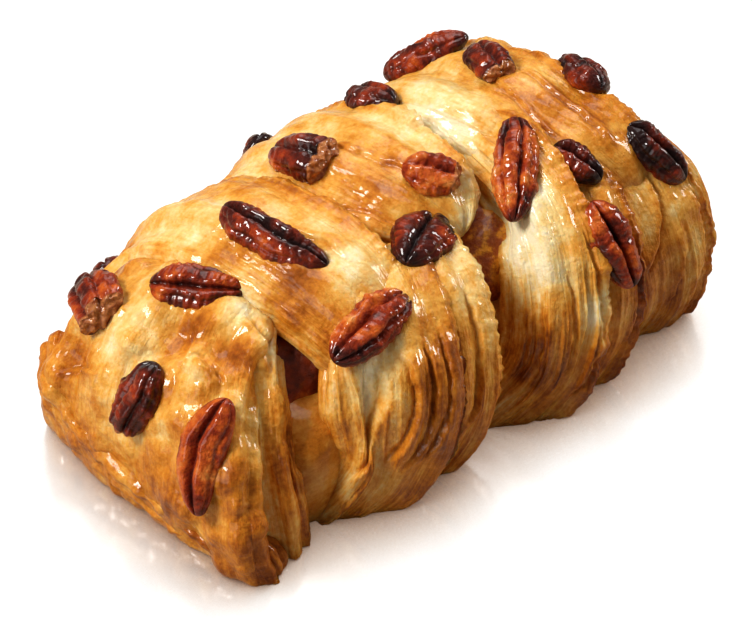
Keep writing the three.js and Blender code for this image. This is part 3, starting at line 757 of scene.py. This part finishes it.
def round_body(name, segments, rings):
    """A sphere of radius 1 with its poles along X, and its corners."""
    deselect_all()
    bpy.ops.mesh.primitive_uv_sphere_add(segments=segments, ring_count=rings, radius=1,
                                         rotation=(0, math.pi / 2, 0))
    piece = bpy.context.object
    bpy.ops.object.transform_apply(location=False, rotation=True, scale=False)
    piece.name = piece.data.name = name
    return piece, corners_of(piece)


def base_loaf():
    piece, ball = round_body("base_sheet", 200, 150)
    smooth = loaf_form(BASE, *ball.T)
    seed = 301
    bumps = 0.7 * cloud(smooth, 9, seed) + 0.3 * cloud(smooth, (14, 3, 3), seed + 1)
    places = smooth + unit(ball) * (bumps + spots(smooth, BASE_FORMS))[:, None]
    baked = 0.44 + 0.15 * cloud(smooth, 10, seed + 2) + spots(places, BAKED_AND_PAINTED_LIGHT_SPOTS)
    write_piece(piece, settle(places, 0), baked=baked, layered=np.full(len(places), 0.3))
    close_up(piece)
    return piece


def nut_filling():
    piece, ball = round_body("nut_filling", 260, 170)
    places = loaf_form(FILLING, *ball.T)
    chunks = 1 - 1.5 * cells(places / 3.1, 3)
    crumbs = 1 - 1.5 * cells(places / 1.3, 4)
    nutty = smoothstep(cloud(places, 6, 6), 0.0, 0.4)
    height = (0.6 * chunks + 0.25 * crumbs) * nutty + 0.8 * cloud(places, 8, 5) - 0.4
    height += spots(places, FILLING_FORMS)
    # painted light: the filling is made lighter in the second opening
    tone_and_painted_light = 0.4 + 0.35 * cloud(places, 12, 7) + spots(places, FILLING_PAINTED_LIGHT_SPOTS)
    chunk = np.clip(tone_and_painted_light + 0.45 * chunks * nutty, 0, 1)
    write_piece(piece, places + unit(ball) * height[:, None], chunk=chunk)
    close_up(piece)
    return piece


# Pecans
SEAT_RAY = 60           # mm outside a pecan's place from where its seat is looked for

# The furrows between a pecan's lobes, for 2 and for 3 of them: where, how deep and how wide.
PECAN_FURROWS = {2: ((0, 0.55, 0.2),), 3: ((-0.62, 0.36, 0.16), (0.5, 0.42, 0.17))}


def hit_on_solid(start, ray):
    place, normal, _, _ = solid_tree.ray_cast(Vector((start - PLAIT_MIDDLE) * MM), Vector(ray))
    return None if place is None else (np.array(place) / MM + PLAIT_MIDDLE, np.array(normal))


def seat_on_solid(at, spread):
    """The dough's surface, and its mean direction, on the way from the heart of the plait to `at`."""
    aim = np.array(at, float)
    heart = np.array([np.clip(aim[0], -HEART_X, HEART_X), 0, SPRING_HEIGHT])
    inward = unit(heart - aim)
    aside = unit(np.cross(inward, (0, 0, 1)))
    ahead = np.cross(inward, aside)
    hits = []
    for i, j in ((0, 0), (1, 0), (-1, 0), (0, 1), (0, -1)):
        hits.append(hit_on_solid(aim - SEAT_RAY * inward + spread * (i * aside + j * ahead), inward))
    hits = [hit for hit in hits if hit]
    return hits[0][0], unit(sum(hit[1] for hit in hits))


def rise_of_dough(folds, seat, normal, aside, spread):
    """How far the dressed dough stands above the solid's surface at a seat, along its normal."""
    above, reach = 9, 14
    rises = []
    for i in (-1, 0, 1):
        start = Vector((seat + above * normal + i * spread * aside - PLAIT_MIDDLE) * MM)
        found = []
        for fold in folds:
            hit, place, _, _ = fold.ray_cast(start, Vector(-normal), distance=reach * MM)
            if hit:
                found.append(above - (start - place).length / MM)
        if found:
            rises.append(max(found))
    return float(np.clip(np.mean(rises), -1.5, 1.5)) if rises else 0.0


def pecan_half(name, index, pecan, folds):
    """A pecan half, groove up, or the piece of one, sunk into the folds where it sits."""
    at, heading, (length, width, height), roast, form = pecan
    snap, bend = form.get("snap", 1), form.get("bend", 0)
    seat, normal = seat_on_solid(at, width / 3)
    compass = math.radians(heading)
    along = np.array([math.cos(compass), math.sin(compass), 0.0])
    along[2] = -(along @ normal) / max(normal[2], 0.2)
    along = unit(along - normal * (along @ normal))
    across = np.cross(normal, along)
    piece, ball = round_body(name, 112, 84)
    x, y, z = ball.T
    reach = np.maximum(np.hypot(y, z), 1e-6)
    turn = np.arctan2(z, y)
    plump = (1 - np.minimum(np.abs(x), 1) ** 2.4) ** 0.5 * (1 - 0.1 * x)
    wander = 0.16 * noise(x * 2.2, x * 0, seed=index * 5)
    away = turn - math.pi / 2 - wander
    groove = 0.1 * bell(np.abs(away) - 1.15, 0.13)
    for middle, depth, wide in PECAN_FURROWS[form.get("lobes", 2)]:
        groove += depth * bell(away - middle, wide)
    groove *= 0.7 if snap < 1 else 1
    ridges = 0.05 * np.sin(4 * x + 2 * turn + index) + 0.04 * np.cos(3 * turn + 2 * index)
    nut = ball * (length / 2, width / 2, height / 2)
    px, py, pz = nut.T
    wrinkles = 0.08 * cloud(nut, (2.8, 4, 4), index + 40)
    wavy = px + 0.9 * noise(py / 2, pz / 2, seed=index + 44)
    wrinkles += 0.075 * noise(wavy / 0.8, py / 3, pz / 3, seed=index + 41)
    wrinkles += 0.09 * cloud(nut, (6, 5, 5), index + 45)
    wrinkles *= form.get("rough", 1)
    section = plump * (1 - groove + ridges + wrinkles) / reach
    past = np.maximum(x - snap, 0)
    broken = smoothstep(past, 0, 0.08)
    lengthwise = (x - 0.75 * past) / (1 + min(snap + 0.25 * (1 - snap), 1)) + (1 - snap) * 0.25
    local = np.stack([
        length * lengthwise + broken * 0.9 * noise(py / 1.6, pz / 1.6, px * 0, seed=index + 42),
        width / 2 * section * y + bend * length / 2 * (x * x - 0.4),
        height / 2 * section * z * np.where(z > 0, 1, 0.8),
    ], axis=-1)
    lift = height * (0.4 - PECAN_SINK) + rise_of_dough(folds, seat, normal, across, width / 3)
    places = seat + normal * lift + local @ np.stack([along, across, normal])
    # broad random patches of darker and redder skin: partly the nut's own tone, partly painted light and
    # shade that stand for lit and shaded sides
    shade = cloud(nut, (8, 5, 5), index + 43)
    roast = roast + 0.42 * shade + 0.5 * groove - 1.5 * wrinkles + 0.25 * np.abs(x) ** 4
    write_piece(piece, places, roast=roast, broken=broken * (z > -0.6))
    close_up(piece)
    return piece


# Shader building
def set_inputs(tree, node, values):
    """Sets a node's inputs, by name or number, each to a constant or to another node's output."""
    for name, value in values.items():
        if isinstance(value, bpy.types.NodeSocket):
            tree.links.new(value, node.inputs[name])
        else:
            node.inputs[name].default_value = value


def add_node(tree, kind, values=None, **settings):
    node = tree.nodes.new(kind)
    for name, value in settings.items():
        setattr(node, name, value)
    set_inputs(tree, node, values or {})
    return node


def maths(tree, operation, first, second, clamp=False):
    values = {0: first, 1: second}
    return add_node(tree, "ShaderNodeMath", values, operation=operation, use_clamp=clamp).outputs[0]


def plus(tree, total, *values):
    for value in values:
        total = maths(tree, "ADD", total, value)
    return total


def times(tree, first, second):
    return maths(tree, "MULTIPLY", first, second)


def either_way(tree, value, amount):
    """A value between 0 and 1, moved to lie as far below zero as above and scaled."""
    return times(tree, maths(tree, "SUBTRACT", value, 0.5), amount)


def ramp(tree, factor, stops):
    """A colour ramp from (place, (r, g, b)) stops."""
    node = add_node(tree, "ShaderNodeValToRGB", {"Fac": factor})
    while len(node.color_ramp.elements) < len(stops):
        node.color_ramp.elements.new(1)
    for element, (place, colour) in zip(node.color_ramp.elements, stops):
        element.position = place
        element.color = (*colour, 1)
    return node.outputs["Color"]


def new_group(name, output, **inputs):
    """A node group with one value as output, and a place and the given values as inputs."""
    tree = bpy.data.node_groups.new(name, "ShaderNodeTree")
    tree.interface.new_socket("Place", in_out="INPUT", socket_type="NodeSocketVector")
    for socket, value in inputs.items():
        made = tree.interface.new_socket(socket, in_out="INPUT", socket_type="NodeSocketFloat")
        made.default_value = value
    tree.interface.new_socket(output, in_out="OUTPUT", socket_type="NodeSocketFloat")
    return tree, tree.nodes.new("NodeGroupInput").outputs, tree.nodes.new("NodeGroupOutput")


def fibre_group():
    """Streaks that run along V of a sheet map."""
    tree, given, result = new_group("Fibres", "Streak", Across=90, Along=8)
    split = add_node(tree, "ShaderNodeSeparateXYZ", {0: given["Place"]})
    scaled = {axis: times(tree, split.outputs[axis], given[way])
              for axis, way in enumerate(("Across", "Along", "Across"))}
    join = add_node(tree, "ShaderNodeCombineXYZ", scaled)
    streak = add_node(tree, "ShaderNodeTexNoise", {
        "Vector": join.outputs[0], "Scale": 1, "Detail": 3, "Roughness": 0.6, "Distortion": 0.4,
    })
    set_inputs(tree, result, {"Streak": streak.outputs["Fac"]})
    return tree


def uneven_group():
    """A value that wanders between a least and a most over the surface."""
    tree, given, result = new_group("Uneven", "Value", Scale=200, Least=0.2, Most=0.6)
    patches = add_node(tree, "ShaderNodeTexNoise", {
        "Vector": given["Place"], "Scale": given["Scale"], "Detail": 4, "Roughness": 0.6,
    })
    spread = add_node(tree, "ShaderNodeMapRange", {
        "Value": patches.outputs["Fac"], "From Min": 0.32, "From Max": 0.68,
        "To Min": given["Least"], "To Max": given["Most"],
    })
    set_inputs(tree, result, {"Value": spread.outputs["Result"]})
    return tree


FIBRES = fibre_group()
UNEVEN = uneven_group()


def fibres(tree, sheet, across, along):
    values = {"Place": sheet, "Across": across, "Along": along}
    return add_node(tree, "ShaderNodeGroup", values, node_tree=FIBRES).outputs[0]


def uneven(tree, place, scale, least=0, most=1):
    values = {"Place": place, "Scale": scale, "Least": least, "Most": most}
    return add_node(tree, "ShaderNodeGroup", values, node_tree=UNEVEN).outputs[0]


def new_material(name):
    """A material with its tree, its shader, and the sheet map and place of each point."""
    material = bpy.data.materials.new(name)
    material.use_nodes = True
    tree = material.node_tree
    coordinates = add_node(tree, "ShaderNodeTexCoord").outputs
    return material, tree, tree.nodes["Principled BSDF"], coordinates["UV"], coordinates["Object"]


def read_attribute(tree, name):
    return add_node(tree, "ShaderNodeAttribute", attribute_name=name).outputs["Fac"]


def add_bump(tree, shader, heights):
    """Bumps one on the other: each is a height socket with its depth in mm."""
    beneath = {}
    for height, depth in heights:
        values = {"Strength": 1.0, "Distance": depth * MM, "Height": height, **beneath}
        beneath = {"Normal": add_node(tree, "ShaderNodeBump", values).outputs["Normal"]}
    set_inputs(tree, shader, beneath)


def crust_material():
    """Laminated dough: cream where it stayed covered, gold to brown where it stood out, under glaze. The
    baked value that it reads also holds painted shade and painted light.
    """
    material, tree, shader, sheet, place = new_material("Glazed crust")
    streaks = fibres(tree, sheet, 95, 9)
    hairs = fibres(tree, sheet, 290, 24)
    mottle = fibres(tree, sheet, 22, 12)
    streaky = plus(tree, either_way(tree, streaks, 0.6), either_way(tree, hairs, 0.4))
    layered = plus(tree, times(tree, read_attribute(tree, "layered"), 0.85), 0.1)
    baked = plus(tree, read_attribute(tree, "baked"), times(tree, streaky, layered),
                 either_way(tree, mottle, 0.4), times(tree, uneven(tree, place, 300, -0.5, 0.5), 0.2),
                 uneven(tree, place, 1100, -0.06, 0.06))
    set_inputs(tree, shader, {
        "Base Color": ramp(tree, baked, BAKED_COLOURS), "Specular IOR Level": 0.1,
        "Roughness": uneven(tree, place, 500, 0.32, 0.6), "Coat Weight": uneven(tree, place, 130, 0.2),
        "Coat Roughness": 0.1, "Coat IOR": 1.45,
        "Subsurface Weight": 0.15, "Subsurface Radius": (1.0, 0.45, 0.15), "Subsurface Scale": 0.003,
    })
    dimples, grain = uneven(tree, place, 420), uneven(tree, place, 1500)
    add_bump(tree, shader, [(streaks, 0.18), (hairs, 0.12), (dimples, 0.19), (grain, 0.07)])
    return material


def filling_material():
    material, tree, shader, _, place = new_material("Nut filling")
    # the value read here holds the nut pieces and the painted light of the second opening
    shade = plus(tree, read_attribute(tree, "chunk"), uneven(tree, place, 420, -0.3, 0.3))
    set_inputs(tree, shader, {
        "Base Color": ramp(tree, shade, FILLING_COLOURS), "Roughness": uneven(tree, place, 700, 0.25, 0.6),
        "Coat Weight": uneven(tree, place, 300), "Coat Roughness": 0.12, "Coat IOR": 1.45,
    })
    add_bump(tree, shader, [(uneven(tree, place, 1200), 0.15)])
    return material


def pecan_material():
    """Roasted skin under glaze, and paler flesh where a pecan is broken."""
    material, tree, shader, _, place = new_material("Roasted pecan")
    roast = plus(tree, read_attribute(tree, "roast"), uneven(tree, place, 450, -0.16, 0.16))
    colour = add_node(tree, "ShaderNodeMix", data_type="RGBA")
    set_inputs(tree, colour, {
        "Factor": read_attribute(tree, "broken"), "A": ramp(tree, roast, ROASTED_COLOURS),
        "B": ramp(tree, uneven(tree, place, 800), BROKEN_COLOURS),
    })
    set_inputs(tree, shader, {
        "Base Color": colour.outputs["Result"], "Specular IOR Level": 0.1,
        "Roughness": uneven(tree, place, 900, 0.25, 0.5), "Coat Weight": uneven(tree, place, 350, 0.5),
        "Coat Roughness": 0.06, "Coat IOR": 1.5,
    })
    add_bump(tree, shader, [(uneven(tree, place, 900), 0.28)])
    return material


def mix_shaders(tree, share, first, second):
    values = {0: share, 1: first.outputs[0], 2: second.outputs[0]}
    return add_node(tree, "ShaderNodeMixShader", values)


def floor_material():
    """A white table that shows the plait's soft reflection and the shade where it touches."""
    material = bpy.data.materials.new("White gloss table")
    material.use_nodes = True
    tree = material.node_tree
    tree.nodes.remove(tree.nodes["Principled BSDF"])
    side = add_node(tree, "ShaderNodeCombineXYZ", dict(zip("XYZ", SHADE_SIDE)))
    shade = add_node(tree, "ShaderNodeAmbientOcclusion", {
        "Distance": SHADE_REACH * MM, "Normal": side.outputs[0],
    }, samples=8)
    near = add_node(tree, "ShaderNodeAmbientOcclusion", {"Distance": MIRROR_REACH * MM}, samples=8)
    covered = maths(tree, "SUBTRACT", 1.0, near.outputs["AO"])
    shaded = ramp(tree, shade.outputs["AO"], SHADE_COLOURS)
    seen = mix_shaders(
        tree, maths(tree, "MULTIPLY", covered, 0.6, clamp=True),
        add_node(tree, "ShaderNodeEmission", {"Color": shaded}),
        add_node(tree, "ShaderNodeBsdfGlossy", {"Roughness": 0.17, "Color": (1, 1, 1, 1)}),
    )
    matt = add_node(tree, "ShaderNodeBsdfDiffuse", {"Color": (0.5, 0.43, 0.36, 1)})
    seen_by_camera = add_node(tree, "ShaderNodeLightPath").outputs["Is Camera Ray"]
    either = mix_shaders(tree, seen_by_camera, matt, seen)
    set_inputs(tree, tree.nodes["Material Output"], {"Surface": either.outputs[0]})
    return material


# Stage
AIM = Vector((-8.92, -12.2, 20)) * MM
CAMERA_AZIMUTH, CAMERA_ELEVATION, CAMERA_DISTANCE = -41.5, 42, 0.6
CAMERA_LENS = 150.8
LIT_PLACE = Vector((0, 0, 20)) * MM
FLOOR_SIZE = 6
WORLD_LIGHT = 0.105

# Lights: azimuth, elevation and distance, the disk's size, and its power in watts.
LIGHTS = {
    "key": (-118, 50, 0.9, 0.3, 6.0),
    "overhead": (140, 68, 1.0, 0.7, 3.2),
    "front": (-90, 24, 1.1, 0.6, 1.9),
    "rim": (74, 28, 1.1, 0.35, 5.2),
    "far_card": (138.5, 42, 2.0, 1.3, 3.8),
}
KEY_COLOUR = (1, 0.985, 0.96)


def direction(azimuth, elevation):
    """Unit vector towards a compass place: azimuth 0 is on the -Y side, 90 on the +X side."""
    a, e = math.radians(azimuth), math.radians(elevation)
    return Vector((math.sin(a) * math.cos(e), -math.cos(a) * math.cos(e), math.sin(e)))


def point_at(thing, target):
    thing.rotation_euler = (target - thing.location).to_track_quat("-Z", "Y").to_euler()


def add_camera():
    camera = bpy.data.objects.new("camera", bpy.data.cameras.new("camera"))
    bpy.context.scene.collection.objects.link(camera)
    camera.data.lens = CAMERA_LENS
    camera.data.clip_start = 0.01
    camera.location = AIM + CAMERA_DISTANCE * direction(CAMERA_AZIMUTH, CAMERA_ELEVATION)
    point_at(camera, AIM)
    bpy.context.scene.camera = camera


def add_light(name, azimuth, elevation, distance, size, watts):
    light = bpy.data.objects.new(name, bpy.data.lights.new(name, "AREA"))
    bpy.context.scene.collection.objects.link(light)
    light.data.shape = "DISK"
    light.data.size = size
    light.data.energy = watts
    light.data.color = KEY_COLOUR if name == "key" else (1, 1, 1)
    light.location = distance * direction(azimuth, elevation)
    point_at(light, LIT_PLACE)


def add_stage():
    deselect_all()
    bpy.ops.mesh.primitive_plane_add(size=FLOOR_SIZE)
    floor = bpy.context.object
    floor.name = floor.data.name = "floor"
    floor.data.materials.append(floor_material())
    for name, values in LIGHTS.items():
        add_light(name, *values)
    scene = bpy.context.scene
    scene.world = bpy.data.worlds.new("studio")
    scene.world.use_nodes = True
    values = {"Color": (1, 1, 1, 1), "Strength": WORLD_LIGHT}
    set_inputs(scene.world.node_tree, scene.world.node_tree.nodes["Background"], values)
    scene.view_settings.view_transform = "Standard"
    scene.view_settings.look = "Medium High Contrast"


# The pastry
def build_pastry():
    crust = crust_material()
    folds = []
    for index, (name, strip) in enumerate(STRIPS.items()):
        style = SMOOTH if strip["side"] > 0 else LAYERED
        folds.append(dough_fold(name, strip_pillow(strip, index), index, style, strip["lip"],
                                strip["arch"], STRIP_HOLLOWS.get(name, ())))
    for index, (name, flap) in enumerate(END_FLAPS.items(), start=len(folds)):
        folds.append(dough_fold(name, flap_pillow(flap), index, MEMBRANE))
    for index, (name, edge) in enumerate(ROLLED_EDGES.items()):
        style = BLISTERED if "hem" in name else CUFF
        folds.append(dough_fold(name, edge_pillow(edge, index), len(folds), style))
    folds.append(base_loaf())
    for fold in folds:
        finish_piece(fold, crust, "crust", "dough")
    finish_piece(nut_filling(), filling_material(), "filling", "filling")
    nut = pecan_material()
    for index, pecan in enumerate(PECANS):
        node = f"pecan_{index + 1:02d}"
        finish_piece(pecan_half(node + "_nut", index, pecan, folds), nut, "pecan", node)


build_pastry()
add_camera()
add_stage()
